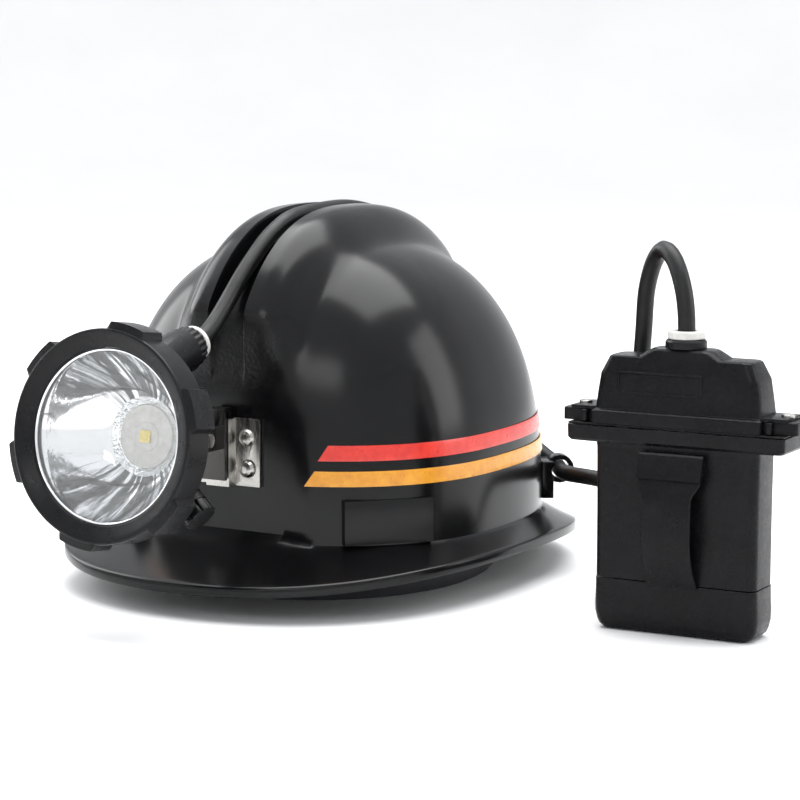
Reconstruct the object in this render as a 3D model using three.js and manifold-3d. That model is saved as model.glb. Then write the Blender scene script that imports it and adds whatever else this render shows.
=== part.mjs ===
// A miner's cap lamp: a hard cap with a brim and a crown channel, a tilting headlamp
// on the front bracket, a belt battery, and the cord that joins them.
// Millimetres, +Z up, the cap faces -Y and the wearer's left is +X.
import * as THREE from "three";
import { mergeVertices } from "three/addons/utils/BufferGeometryUtils.js";
import Module from "manifold-3d";

const wasm = await Module();
wasm.setup();

// ---- driving dimensions -------------------------------------------------------------
const GAP = 0.3; // between pieces that touch

// the cap's shell
const DOME = { front: 95, rear: 117, half: 101, base: 30, rise: 140, plan: 2.4, round: 2.55 };
const WALL = 2.6;
const BRIM = { front: 42, rear: 23, side: 15, edge: 24, droopFront: 8, droopRear: 12, lip: 5 };
const RIDGE = { rise: 14.5, crest: 15, foot: 40, inner: 9.8, floor: 8.5, floorRise: 6 };
const RIDGE_ENDS = { front: [104, 134], rear: [118, 150] }; // heights where the ridge fades
const PAD_Y = 88; // the flat the lamp bracket is riveted to stands this far forward

// the headlamp
const LAMP = { y: -189, z: 91.6, pitch: 7.4 };
const BEZEL = { radius: 48.5, inner: 46.1, depth: 17, opening: 40 };
const HOUSING = { front: 5.9, radius: 45.8, inner: 43, back: 30.6 };
const LUGS = { count: 6, width: 23, radius: 51.7, first: 12 };
const PIVOT = { y: -113, z: 80, pin: 2, knuckle: 5.5, half: 3.2 };
const LAMP_GLAND = { back: 55.6, up: 37.9, rise: 21.5, radius: 9.6, boss: 10.8, bore: 4.6 };
const SWITCH = { angle: -41, back: 28, seat: 45.2, radius: 7.6, height: 6 };

// the bracket on the cap and the hook that drops into it
const BRACKET = { width: 40, low: 55.5, high: 88, wing: 1.6, bridge: 13, pocket: 6 };
const HOOK = { tongue: 9, thick: 2, plate: 13 };

// the battery
const BATTERY = { x: 219.6, y: -55.7, yaw: 2, width: 78, depth: 24 };
const CASE = { seam: 24, top: 86, wall: 2.2, corner: 4 };
const COLLAR = { half: 52.5, top: 93.6, over: 2.3 };
const LID = { flange: 94.9, top: 100.6, ear: 56.5, earDepth: 18, crown: 125.6, hump: 129.5 };
const SCREW = { x: 49, head: 3.1, shank: 1.8 };
const CLIP = { thick: 1.6, head: 15, hinge: 79, foot: 22, bow: 8.5 };
const CELLS = { count: 4, radius: 8.6, pitch: 16.6, length: 66 };

// the cord
const CORD = { radius: 4, sides: 8, step: 18 };
const COIL = { x: -24.5, back: 71, radius: 37, turns: 3 }; // behind the battery, on the table

// ---- helpers ------------------------------------------------------------------------
const rad = THREE.MathUtils.degToRad;
const clamp01 = (t) => Math.min(1, Math.max(0, t));
const smooth = (t) => clamp01(t) ** 2 * (3 - 2 * clamp01(t));
const mix = THREE.MathUtils.lerp;

function solid(geometry) {
  let g = geometry.index ? geometry.toNonIndexed() : geometry.clone();
  g.deleteAttribute("normal");
  g.deleteAttribute("uv");
  g = mergeVertices(g, 1e-4);
  return new wasm.Manifold(
    new wasm.Mesh({
      numProp: 3,
      vertProperties: Float32Array.from(g.attributes.position.array),
      triVerts: Uint32Array.from(g.index.array),
    }),
  );
}

function geometryOf(manifold) {
  const mesh = manifold.getMesh();
  const g = new THREE.BufferGeometry();
  g.setAttribute("position", new THREE.BufferAttribute(new Float32Array(mesh.vertProperties), 3));
  g.setIndex(new THREE.BufferAttribute(new Uint32Array(mesh.triVerts), 1));
  const flat = g.toNonIndexed();
  flat.computeVertexNormals();
  return flat;
}

const cut = (a, ...others) =>
  geometryOf(others.reduce((m, other) => m.subtract(solid(other)), solid(a)));
const join = (a, ...others) =>
  geometryOf(others.reduce((m, other) => m.add(solid(other)), solid(a)));
const keep = (a, b) => geometryOf(solid(a).intersect(solid(b)));

// A profile of [radius, height] pairs turned about Y. It is closed on itself unless it
// starts and ends on the axis, and its direction is set so that faces point out.
function turned(profile, segments = 32) {
  const onAxis = profile[0][0] === 0 && profile.at(-1)[0] === 0;
  const points = profile.map(([r, h]) => new THREE.Vector2(r, h));
  if (THREE.ShapeUtils.area(points) < 0) points.reverse();
  if (!onAxis) points.push(points[0].clone());
  return new THREE.LatheGeometry(points, segments);
}

const block = (x, y, z, cx = 0, cy = 0, cz = 0) =>
  new THREE.BoxGeometry(x, y, z).translate(cx, cy, cz);

const rod = (radius, length, segments = 16) =>
  new THREE.CylinderGeometry(radius, radius, length, segments);

// An outline of [a, b] pairs swept along +Z.
function swept(outline, depth) {
  const shape = new THREE.Shape(outline.map(([a, b]) => new THREE.Vector2(a, b)));
  return new THREE.ExtrudeGeometry(shape, { depth, bevelEnabled: false });
}

// An outline in the YZ plane, given as [y, z] pairs, swept from -half to +half along X.
function sideProfile(outline, half) {
  const g = swept(outline, 2 * half);
  g.applyMatrix4(new THREE.Matrix4().set(0, 0, 1, -half, 1, 0, 0, 0, 0, 1, 0, 0, 0, 0, 0, 1));
  return g;
}

// Points of a rectangle with round corners, anticlockwise from above.
function roundRect(width, depth, corner, segments = 3) {
  const points = [];
  const signs = [[1, -1], [1, 1], [-1, 1], [-1, -1]];
  signs.forEach(([sx, sy], quarter) => {
    for (let i = 0; i <= segments; i++) {
      const a = (Math.PI / 2) * (quarter - 1 + i / segments);
      const x = sx * (width / 2 - corner) + corner * Math.cos(a);
      points.push([x, sy * (depth / 2 - corner) + corner * Math.sin(a)]);
    }
  });
  return points;
}

// A solid stacked from levels of { z, width, depth, corner, y }, all round rectangles.
function stacked(levels) {
  const rings = levels.map(({ z, width, depth, corner, y = 0 }) =>
    roundRect(width, depth, corner).map(([px, py]) => new THREE.Vector3(px, py + y, z)),
  );
  return closedLoft(rings);
}

// Rings of equal count, anticlockwise seen from the last ring's side, capped at each end.
function closedLoft(rings) {
  const n = rings[0].length;
  const points = rings.flat();
  const index = [];
  for (let r = 0; r + 1 < rings.length; r++)
    for (let i = 0; i < n; i++) {
      const a = r * n + i;
      const b = r * n + ((i + 1) % n);
      index.push(a, b, b + n, a, b + n, a + n);
    }
  const last = (rings.length - 1) * n;
  for (let i = 1; i + 1 < n; i++) {
    index.push(0, i + 1, i);
    index.push(last, last + i, last + i + 1);
  }
  return indexed(points, index);
}

function indexed(points, index) {
  const g = new THREE.BufferGeometry().setFromPoints(points);
  g.setIndex(index);
  g.computeVertexNormals();
  return g;
}

function paint(color, roughness, metalness = 0) {
  return () => new THREE.MeshStandardMaterial({ color, roughness, metalness });
}
const shellBlack = paint(0x101012, 0.3);
const lampBlack = paint(0x151517, 0.5);
const caseBlack = paint(0x19191b, 0.55);
const rubberBlack = paint(0x0d0d0e, 0.7);
const steel = paint(0xc9c7c2, 0.28, 1);
const mirror = paint(0xe6e7e8, 0.08, 1);
const aluminium = paint(0xb9bcc0, 0.4, 1);
const glass = paint(0xdfe8ea, 0.05);
const white = paint(0xe8e7e2, 0.45);
const red = paint(0xd8281e, 0.35);
const yellow = paint(0xe2a315, 0.35);
const webbing = paint(0x2a2b2d, 0.9);
const foam = paint(0x1c1c1e, 0.95);
const bandGrey = paint(0x33363a, 0.6);
const chipYellow = paint(0xe8d250, 0.4);
const boardGreen = paint(0x1c5a34, 0.5);
const cellBlue = paint(0x2c4f86, 0.4);

function place(group, name, geometry, material) {
  const mesh = new THREE.Mesh(geometry, material());
  mesh.name = name;
  group.add(mesh);
  return mesh;
}

// ---- the cap's form -----------------------------------------------------------------
// A row of the dome runs from the front base (w = -1) to the rear base (w = 1) at one x.
function domePoint(x, w) {
  const side = clamp01(Math.abs(x) / DOME.half) ** DOME.plan;
  const length = w < 0 ? DOME.front : DOME.rear;
  const rho = (side + (1 - side) * Math.abs(w) ** DOME.plan) ** (1 / DOME.plan);
  const y = length * (1 - side) ** (1 / DOME.plan) * w;
  const z = DOME.base + DOME.rise * Math.max(0, 1 - rho ** DOME.round) ** (1 / DOME.round);
  return new THREE.Vector3(x, y, z);
}

function domeNormal(p) {
  const length = p.y < 0 ? DOME.front : DOME.rear;
  const [a, b] = [Math.abs(p.x) / DOME.half, Math.abs(p.y) / length];
  const plan = Math.max(1e-9, a ** DOME.plan + b ** DOME.plan);
  const scale = plan ** (DOME.round / DOME.plan - 1);
  const x = (scale * a ** (DOME.plan - 1) * Math.sign(p.x)) / DOME.half;
  const y = (scale * b ** (DOME.plan - 1) * Math.sign(p.y)) / length;
  const up = ((p.z - DOME.base) / DOME.rise) ** (DOME.round - 1) / DOME.rise;
  return new THREE.Vector3(x, y, up).normalize();
}

// How far the crown stands out from the dome: two ridges with the cord's channel between.
function ridgeRise(x, wide) {
  const a = Math.abs(x);
  if (a < RIDGE.inner + wide - 0.01) return RIDGE.floorRise * (wide ? 0 : 1);
  return RIDGE.rise * (1 - smooth((a - RIDGE.crest) / (RIDGE.foot - RIDGE.crest)));
}

function ridgeFade(p) {
  const [low, high] = p.y < 0 ? RIDGE_ENDS.front : RIDGE_ENDS.rear;
  return smooth((p.z - low) / (high - low));
}

// A point of the shell's outer face (inside = 0) or of its inner face (inside = WALL).
function shellPoint(x, w, inside) {
  const p = domePoint(x, w);
  const normal = domeNormal(p);
  const rise = ridgeRise(x, Math.max(0, inside)) * ridgeFade(p);
  p.addScaledVector(normal, rise - inside);
  if (p.z > DOME.base + 6) p.y = Math.max(p.y, inside - PAD_Y);
  return p;
}

// The plan of the cap at a share of the way from the dome's base (0) to the edge (1).
function brimPoint(x, end, share, drop, inset = 0) {
  const side = clamp01(Math.abs(x) / DOME.half) ** DOME.plan;
  const reach = (1 - side) ** (1 / DOME.plan);
  const length = end < 0 ? DOME.front + BRIM.front * share : DOME.rear + BRIM.rear * share;
  const droop = end < 0 ? BRIM.droopFront : BRIM.droopRear;
  const edge = BRIM.edge - droop * (1 - side);
  const across = (x / DOME.half) * (DOME.half + BRIM.side * share - inset);
  const z = mix(DOME.base, edge, share ** 0.8) - drop;
  return new THREE.Vector3(across, end * reach * (length - inset), z);
}

const ROW_STEPS = 26;

// Where the shell's rows stand across the cap; the inner face has its own set.
function columns(inside) {
  const angles = Array.from({ length: 7 }, (_, i) => (i * 90) / 7);
  const flank = angles
    .map((a) => DOME.half * Math.cos(rad(a)) ** (2 / DOME.plan))
    .filter((x) => x > RIDGE.foot + 4);
  const { foot, crest, inner, floor } = RIDGE;
  const ridge = inside
    ? [foot - 2, 31, crest - 1, inner + WALL, floor + WALL]
    : [foot, 33, crest, inner, floor];
  const half = [...flank, ...ridge];
  return [...half.map((x) => -x), 0, ...half.toReversed()];
}

function shellRow(x, inside) {
  return Array.from({ length: ROW_STEPS + 1 }, (_, i) => {
    const t = (2 * i) / ROW_STEPS - 1;
    const s = Math.cos((Math.PI / 2) * t);
    const w = Math.sign(t) * Math.max(0, 1 - s ** DOME.round) ** (1 / DOME.round);
    return shellPoint(x, w, inside);
  });
}

function capShell() {
  const steps = ROW_STEPS;
  const outerX = columns(false);
  const points = [];
  const index = [];
  const put = (p) => points.push(p) - 1;
  const quad = (a, b, c, d) => index.push(a, b, c, a, c, d);
  const sheet = (xs, inside) => xs.map((x) => shellRow(x, inside).map(put));
  const outerGrid = sheet(outerX, 0);
  const innerGrid = sheet(columns(true), WALL);
  for (let r = 0; r + 1 < outerGrid.length; r++)
    for (let i = 0; i < steps; i++) {
      const [a, b] = [outerGrid[r], outerGrid[r + 1]];
      quad(a[i], b[i], b[i + 1], a[i + 1]);
      const [c, d] = [innerGrid[r], innerGrid[r + 1]];
      quad(c[i], c[i + 1], d[i + 1], d[i]);
    }
  // rings of the brim, from the outer base round the lip to the inner base
  const loop = (make) => [
    ...outerX.map((x) => put(make(x, -1))),
    ...outerX.slice(1, -1).reverse().map((x) => put(make(x, 1))),
  ];
  const gridLoop = (grid) => [
    ...grid.map((row) => row[0]),
    ...grid.slice(1, -1).reverse().map((row) => row[steps]),
  ];
  const lip = 2.4;
  const rings = [
    gridLoop(outerGrid),
    loop((x, end) => brimPoint(x, end, 0.45, 0)),
    loop((x, end) => brimPoint(x, end, 1, 0)),
    loop((x, end) => brimPoint(x, end, 1, BRIM.lip)),
    loop((x, end) => brimPoint(x, end, 1, BRIM.lip, lip)),
    loop((x, end) => brimPoint(x, end, 1, WALL, lip)),
    loop((x, end) => brimPoint(x, end, 0.45, WALL)),
    gridLoop(innerGrid),
  ];
  for (let r = 0; r + 1 < rings.length; r++)
    rings[r].forEach((a, i) => {
      const j = (i + 1) % rings[r].length;
      quad(a, rings[r + 1][i], rings[r + 1][j], rings[r][j]);
    });
  return indexed(points, index);
}

// A thin strip that follows the dome at one height band, from one w to another.
function stripe(side, low, high, start, slant) {
  const steps = 14;
  const rings = [];
  for (let i = 0; i <= steps; i++) {
    const ring = [];
    const at = (z, off) => {
      const from = start + (z - low) * slant;
      const angle = rad(mix(from, 128, i / steps));
      const s = (z - DOME.base) / DOME.rise;
      const shrink = (1 - s ** DOME.round) ** (1 / DOME.round);
      const cos = Math.abs(Math.sin(angle)) ** (2 / DOME.plan);
      const sin = Math.sign(-Math.cos(angle)) * Math.abs(Math.cos(angle)) ** (2 / DOME.plan);
      const length = sin < 0 ? DOME.front : DOME.rear;
      const p = new THREE.Vector3(side * DOME.half * cos * shrink, length * sin * shrink, z);
      return p.addScaledVector(domeNormal(p), off);
    };
    ring.push(at(low, 0.6), at(low, 1.2), at(high, 1.2), at(high, 0.6));
    rings.push(side > 0 ? ring : ring.reverse());
  }
  return closedLoft(rings.reverse());
}

// A box-like socket for accessories, standing on the dome at an angle from straight ahead.
function slotBoss(side) {
  const boss = { reach: 105, width: 44, height: 21, depth: 20, z: 41.3, angle: 49 };
  const body = block(boss.width, boss.depth, boss.height);
  const mouth = block(boss.width - 10, 3, boss.height, 0, -boss.depth / 2 + 4, 6);
  const shaped = cut(body, mouth);
  shaped.rotateZ(side * rad(boss.angle));
  const out = boss.reach - boss.depth / 2;
  shaped.translate(side * Math.sin(rad(boss.angle)) * out, -Math.cos(rad(boss.angle)) * out, boss.z);
  return cut(shaped, filledShell(GAP));
}

// The shell's outer form filled in and grown by a gap, for cutting what stands on it.
function filledShell(grow) {
  const xs = columns(false);
  const rows = xs.map((x) => shellRow(x, -grow));
  const n = rows[0].length;
  const points = rows.flat();
  const index = [];
  for (let r = 0; r + 1 < rows.length; r++)
    for (let i = 0; i + 1 < n; i++) {
      const [p, q] = [r * n + i, (r + 1) * n + i];
      index.push(p, q, q + 1, p, q + 1, p + 1);
    }
  const rim = [
    ...rows.map((_, r) => r * n),
    ...rows.slice(1, -1).map((_, r) => (rows.length - 2 - r) * n + n - 1),
  ];
  const middle = points.push(new THREE.Vector3(0, 0, DOME.base - 8)) - 1;
  rim.forEach((p, i) => index.push(p, middle, rim[(i + 1) % rim.length]));
  return indexed(points, index);
}

// ---- the cap ------------------------------------------------------------------------
const cap = new THREE.Group();
place(cap, "helmet_shell", capShell(), shellBlack);
for (const [name, side] of [["left", 1], ["right", -1]]) {
  place(cap, `slot_boss_${name}`, slotBoss(side), shellBlack);
  place(cap, `stripe_red_${name}`, stripe(side, 70.2, 77.2, 26, 0.42), red);
  place(cap, `stripe_yellow_${name}`, stripe(side, 58.2, 65.2, 22, 0.42), yellow);
}

// The ring that grips the head, an oval band open above and below.
function oval(halfX, front, rear, low, high, segments = 40) {
  const ring = (z) =>
    Array.from({ length: segments }, (_, i) => {
      const a = (2 * Math.PI * i) / segments;
      const length = Math.sin(a) < 0 ? front : rear;
      return new THREE.Vector3(halfX * Math.cos(a), length * Math.sin(a), z);
    });
  return closedLoft([ring(low), ring(high)]);
}
const BAND = { half: 80, front: 84, rear: 104, thick: 2, high: 30 };
const bandShape = (grow, low, high) =>
  oval(BAND.half + grow, BAND.front + grow, BAND.rear + grow, low, high);
place(cap, "headband", cut(bandShape(0, 0, BAND.high), bandShape(-BAND.thick, -1, 40)), bandGrey);
const padFront = block(130, 60, 26, 0, -75, 15);
const padRing = cut(bandShape(-BAND.thick - GAP, 2, 28), bandShape(-BAND.thick - 5, 0, 40));
place(cap, "sweat_pad", keep(padRing, padFront), foam);

// Two crossing straps that carry the shell over the head, with a tab at each foot.
function cradle() {
  const strap = (angle) => {
    const outer = 84;
    const top = 100;
    const arch = (grow) =>
      Array.from({ length: 17 }, (_, i) => {
        const a = (Math.PI * i) / 16;
        return [(outer + grow) * Math.cos(a), 31 + (top + grow) * Math.sin(a)];
      });
    const g = swept([...arch(1), ...arch(-0.5).reverse()], 20);
    g.translate(0, 0, -10).rotateX(Math.PI / 2).rotateZ(rad(angle));
    return g;
  };
  const tabs = [45, 135, 225, 315].map((a) =>
    block(9, 20, 5, 87, 0, 33).rotateZ(rad(a)),
  );
  return join(strap(45), strap(135), ...tabs).translate(0, 8, 0);
}
place(cap, "cradle", cradle(), webbing);

const ratchet = { z: 11, front: BAND.rear + GAP, depth: 8, radius: 8.6, knob: 6 };
place(
  cap,
  "ratchet_housing",
  cut(
    block(46, ratchet.depth, 17, 0, ratchet.front + ratchet.depth / 2, ratchet.z),
    bandShape(GAP, -1, 40),
  ),
  bandGrey,
);
const knobGrips = Array.from({ length: 12 }, (_, i) => {
  const a = (2 * Math.PI * i) / 12;
  return rod(1.1, 12, 6).translate(ratchet.radius * Math.cos(a), 0, ratchet.radius * Math.sin(a));
});
place(
  cap,
  "ratchet_knob",
  cut(rod(ratchet.radius, ratchet.knob, 24), ...knobGrips).translate(
    0,
    ratchet.front + ratchet.depth + GAP + ratchet.knob / 2,
    ratchet.z,
  ),
  bandGrey,
);

// The clip that holds the cord where it leaves the cap at the rear left.
function cordClip() {
  const clip = { x: 82.4, y: 84, z: 40.5, turn: 36 };
  const plate = block(6, 18, 19);
  const eye = (radius, length) => rod(radius, length, 16).translate(7, 0, 5);
  return cut(join(plate, eye(7.4, 8)), eye(5, 30)).rotateZ(rad(clip.turn)).translate(clip.x, clip.y, clip.z);
}
place(cap, "cord_clip", cut(cordClip(), filledShell(GAP)), shellBlack);

// The bracket is a hat-shaped strip, open behind, held to the pad by four rivets.
const bracketFace = -PAD_Y - GAP;
const bracketRivets = [-1, 1].flatMap((side) =>
  [["low", 64], ["high", 79]].map(([row, z]) => ({
    name: `rivet_${side < 0 ? "right" : "left"}_${row}`,
    x: (side * (BRACKET.bridge + BRACKET.width)) / 4,
    z,
  })),
);

function bracket() {
  const { width, low, high, wing, bridge, pocket } = BRACKET;
  const tall = high - low;
  const mid = (low + high) / 2;
  const out = pocket + wing;
  const wings = block(width, wing, tall, 0, bracketFace - wing / 2, mid);
  const arch = block(bridge, out, tall, 0, bracketFace - out / 2, mid);
  const inside = block(bridge - 2 * wing, pocket + 1, tall + 2, 0, bracketFace + (1 - pocket) / 2, mid);
  const holes = bracketRivets.map(({ x, z }) => rod(1.6, 12, 12).translate(x, bracketFace, z));
  return cut(join(wings, arch), inside, ...holes);
}
place(cap, "bracket", bracket(), steel);

for (const { name, x, z } of bracketRivets) {
  const rivet = turned([[0, -2.8], [3, -1.9], [4.2, 0], [1.3, 0], [1.3, 1.4], [0, 1.4]], 14);
  place(cap, name, rivet.translate(x, bracketFace - BRACKET.wing - GAP, z), steel);
}

// ---- the headlamp -------------------------------------------------------------------
// Its parts are drawn with the front of the ring at the origin and the back towards +Y.
const lamp = new THREE.Group();
const tilted = (g) => g.rotateX(-rad(LAMP.pitch)).translate(0, LAMP.y, LAMP.z);

// The bezel's face dishes in from its rim to the lens, and its skirt carries the grip lugs.
function bezel() {
  const { radius, inner, depth, opening } = BEZEL;
  const profile = [
    [opening, 4.2],
    [radius - 2.1, 0.4],
    [radius - 1.1, 0],
    [radius, 1.2],
    [radius, depth - 1.4],
    [radius - 1.3, depth],
    [inner, depth],
    [inner, 5.6],
    [opening, 5.6],
  ];
  const band = [
    [inner + 1, 1.5],
    [LUGS.radius - 1, 1.5],
    [LUGS.radius, 3],
    [LUGS.radius, depth - 1.2],
    [inner + 1, depth - 1.2],
  ];
  const wedge = block(2 * LUGS.radius * Math.tan(rad(LUGS.width / 2)), 40, 50, 0, 10, 50);
  const lugs = Array.from({ length: LUGS.count }, (_, i) =>
    keep(turned(band, 48), wedge).rotateY(rad(LUGS.first + (360 * i) / LUGS.count)),
  );
  return join(turned(profile, 48), ...lugs);
}
place(lamp, "bezel", tilted(bezel()), lampBlack);

place(lamp, "lens", tilted(turned([[0, 5.9], [42.7, 5.9], [42.7, 8.2], [0, 8.2]], 48)), glass);
place(
  lamp,
  "seal_ring",
  tilted(turned([[40.2, 8.5], [42.7, 8.5], [42.7, 9.8], [40.2, 9.8]], 48)),
  rubberBlack,
);
const bowl = [
  [42.6, 10.1],
  [40, 10.1],
  [36.3, 15.4],
  [30.8, 22.2],
  [24, 29],
  [15, 35.5],
  [15, 37.4],
  [25.5, 30.6],
  [32.6, 23.6],
  [38.1, 16.4],
  [41.2, 11.6],
  [42.6, 11.6],
];
place(lamp, "reflector", tilted(turned(bowl, 48)), mirror);
place(lamp, "led_holder", tilted(turned([[0, 36], [14.6, 36], [14.6, 39], [0, 39]], 32)), white);
place(lamp, "led_chip", tilted(turned([[0, 34.2], [3, 34.6], [4, 35.7], [0, 35.7]], 16)), chipYellow);

function heatSink() {
  const fins = [-16, -8, 0, 8, 16].map((x) => block(2.2, 6, 22, x, 45.5, 0));
  return join(turned([[0, 39.3], [24, 39.3], [24, 43], [0, 43]], 32), ...fins);
}
place(lamp, "heat_sink", tilted(heatSink()), aluminium);

// The housing is a ring behind the bezel that narrows, with a flat seat for the switch.
const radially = (g, angle, back, out) =>
  g.rotateZ(-Math.PI / 2).translate(out, back, 0).rotateY(-rad(angle));

function housing() {
  const { front, radius, inner, back } = HOUSING;
  const profile = [
    [inner, front],
    [radius, front],
    [radius, 19],
    [radius - 1, 21],
    [38.6, back],
    [36.2, back],
    [inner - 1, 20.6],
    [inner, 18.6],
  ];
  const seatHeight = 7.5;
  const seat = radially(
    rod(SWITCH.radius, seatHeight, 20),
    SWITCH.angle,
    SWITCH.back,
    SWITCH.seat - seatHeight / 2,
  );
  const seatLow = BEZEL.depth + 0.6;
  const behind = block(200, back - seatLow, 200, 0, (back + seatLow) / 2, 0);
  return join(turned(profile, 48), keep(seat, behind));
}
place(lamp, "lamp_housing", tilted(housing()), lampBlack);

// The back shell: a cup with the hinge knuckle behind it and the cord's boss on top.
const glandAt = (g) =>
  g.rotateX(rad(LAMP_GLAND.rise)).translate(0, LAMP_GLAND.back, LAMP_GLAND.up);

function backShell() {
  const front = HOUSING.back + GAP;
  const outside = [
    [0, 62],
    [13.5, 62],
    [15, 60.5],
    [15, 54.6],
    [20, 53],
    [25, 48.6],
    [31, 40.4],
    [38.2, front],
  ];
  const inside = [
    [35.8, front],
    [29, 39.5],
    [23.4, 47],
    [18.8, 50.4],
    [0, 50.4],
  ];
  const cup = turned([...outside, ...inside], 40);
  const hollow = turned([[0, 30], [36.5, 30], ...inside], 40);
  const inFront = block(100, 60, 200, 0, front - 30, 0);
  const boss = cut(glandAt(rod(LAMP_GLAND.boss, 40, 20).translate(0, -14.4, 0)), inFront, hollow);
  const knuckle = rod(PIVOT.knuckle, 2 * PIVOT.half, 20).rotateZ(Math.PI / 2);
  knuckle.translate(0, PIVOT.y, PIVOT.z);
  const neck = block(2 * PIVOT.half, 16, 9, 0, 67.4, -1.6);
  const bodyParts = join(tilted(cup), tilted(boss), knuckle, tilted(neck));
  const bore = tilted(glandAt(rod(LAMP_GLAND.bore, 64, 16)));
  const pinHole = rod(PIVOT.pin + GAP, 40, 16).rotateZ(Math.PI / 2).translate(0, PIVOT.y, PIVOT.z);
  return cut(bodyParts, bore, pinHole);
}
place(lamp, "lamp_back", backShell(), lampBlack);

const { bore: glandBore, radius: nutRadius } = LAMP_GLAND;
const nut = turned(
  [[glandBore, 6], [nutRadius, 6], [nutRadius, 12], [nutRadius - 1, 13.6], [glandBore, 13.6]],
  20,
);
place(lamp, "lamp_gland", tilted(glandAt(nut)), rubberBlack);
const glandRing = turned([[glandBore, 13.9], [8.4, 13.9], [8, 17], [glandBore, 17]], 20);
place(lamp, "lamp_gland_ring", tilted(glandAt(glandRing)), white);

function switchKnob() {
  const { radius, height, seat, back, angle } = SWITCH;
  const grips = Array.from({ length: 8 }, (_, i) =>
    rod(1, 20, 6).translate(radius * Math.cos((Math.PI * i) / 4), 0, radius * Math.sin((Math.PI * i) / 4)),
  );
  return radially(cut(rod(radius, height, 24), ...grips), angle, back, seat + GAP + height / 2);
}
place(lamp, "switch_knob", tilted(switchKnob()), lampBlack);

// ---- the hook and its pin -----------------------------------------------------------
const mount = new THREE.Group();
const pocketBack = -PAD_Y - GAP - 2.2;

function hook() {
  const { tongue, thick, plate } = HOOK;
  const front = -PAD_Y - GAP - BRACKET.pocket - BRACKET.wing - 1.5;
  const back = block(tongue, thick, 34, 0, pocketBack - thick / 2, 76);
  const over = block(tongue, pocketBack - front + thick, thick, 0, (pocketBack + front - thick) / 2, 92);
  const face = block(plate, thick, 34, 0, front - thick / 2, 76);
  const ear = (side) => {
    const x = side * (PIVOT.half + 2);
    const arm = block(2.4, PIVOT.y * -1 + front, 11, x, (PIVOT.y + front) / 2, PIVOT.z);
    const round = rod(5.5, 2.4, 20).rotateZ(Math.PI / 2).translate(x, PIVOT.y, PIVOT.z);
    return join(arm, round);
  };
  const hole = rod(PIVOT.pin + 0.25, 60, 16).rotateZ(Math.PI / 2).translate(0, PIVOT.y, PIVOT.z);
  return cut(join(back, over, face, ear(-1), ear(1)), hole);
}
place(mount, "lamp_hook", hook(), steel);

const pinShape = turned(
  [
    [0, -8.2],
    [3.4, -8.2],
    [3.4, -6.8],
    [PIVOT.pin, -6.8],
    [PIVOT.pin, 8],
    [0, 8],
  ],
  16,
);
place(mount, "hinge_pin", pinShape.rotateZ(Math.PI / 2).translate(0, PIVOT.y, PIVOT.z), steel);

// ---- the battery --------------------------------------------------------------------
// Its parts are drawn with the middle of the front face's foot at the origin.
const battery = new THREE.Group();
const beside = (g) => g.rotateZ(rad(BATTERY.yaw)).translate(BATTERY.x, BATTERY.y, 0);
const rectLevel = (z, width, depth, corner, y = BATTERY.depth / 2) => ({ z, width, depth, corner, y });
const screwHoles = [-1, 1].map((side) =>
  rod(SCREW.shank + GAP, 60, 12).rotateX(Math.PI / 2).translate(side * SCREW.x, BATTERY.depth / 2, 95),
);

const { width: bw, depth: bd } = BATTERY;
const inner = (low, high) =>
  stacked([
    rectLevel(low, bw - 2 * CASE.wall, bd - 2 * CASE.wall, 2.5),
    rectLevel(high, bw - 2 * CASE.wall, bd - 2 * CASE.wall, 2.5),
  ]);

const capLevels = [
  rectLevel(0, bw - 8, bd - 3, CASE.corner),
  rectLevel(1.6, bw - 3, bd, CASE.corner),
  rectLevel(6, bw + 0.6, bd + 0.8, CASE.corner),
  rectLevel(CASE.seam - 0.3, bw + 0.6, bd + 0.8, CASE.corner),
];
place(battery, "battery_foot", beside(cut(stacked(capLevels), inner(2.4, 40))), caseBlack);

const caseLevels = [
  rectLevel(CASE.seam, bw, bd, CASE.corner),
  rectLevel(CASE.top - 2, bw + 0.8, bd, CASE.corner),
  rectLevel(CASE.top, 2 * COLLAR.half - 2, bd + COLLAR.over, 3),
  rectLevel(CASE.top + 1.2, 2 * COLLAR.half, bd + 2 * COLLAR.over, 3),
  rectLevel(COLLAR.top, 2 * COLLAR.half, bd + 2 * COLLAR.over, 3),
];
place(battery, "battery_case", beside(cut(stacked(caseLevels), inner(10, 120), ...screwHoles)), caseBlack);

const gasketSlab = block(2 * COLLAR.half - 1, bd + 2, 0.7, 0, bd / 2, COLLAR.top + GAP + 0.35);
place(battery, "gasket", beside(cut(gasketSlab, inner(80, 110), ...screwHoles)), rubberBlack);

function lid() {
  const { flange, top, ear, earDepth, crown, hump } = LID;
  const body = stacked([
    rectLevel(flange, bw + 6, bd + 4, 3),
    rectLevel(top, bw + 6, bd + 4, 3),
    rectLevel(top + 1, bw + 2, bd - 1, 4),
    rectLevel(crown - 5, bw - 4, bd - 3, 4),
    rectLevel(crown, bw - 9, bd - 7, 4),
  ]);
  const ears = block(2 * ear, earDepth, top - flange, 0, bd / 2, (top + flange) / 2);
  const raised = stacked([
    rectLevel(crown - 8, 44, 19, 4),
    rectLevel(hump - 1, 32, 17, 4),
    rectLevel(hump, 28, 15, 4),
  ]);
  const room = stacked([
    rectLevel(flange - 2, bw - 8, bd - 9, 3),
    rectLevel(crown - 4, bw - 16, bd - 11, 3),
  ]);
  const label = block(52, 2, 9, -3, 1.2, 113);
  const bore = rod(4.6, 60, 16).rotateX(Math.PI / 2).translate(0, bd / 2, hump);
  return cut(join(body, ears, raised), room, label, bore, ...screwHoles);
}
place(battery, "battery_lid", beside(lid()), caseBlack);

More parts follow.
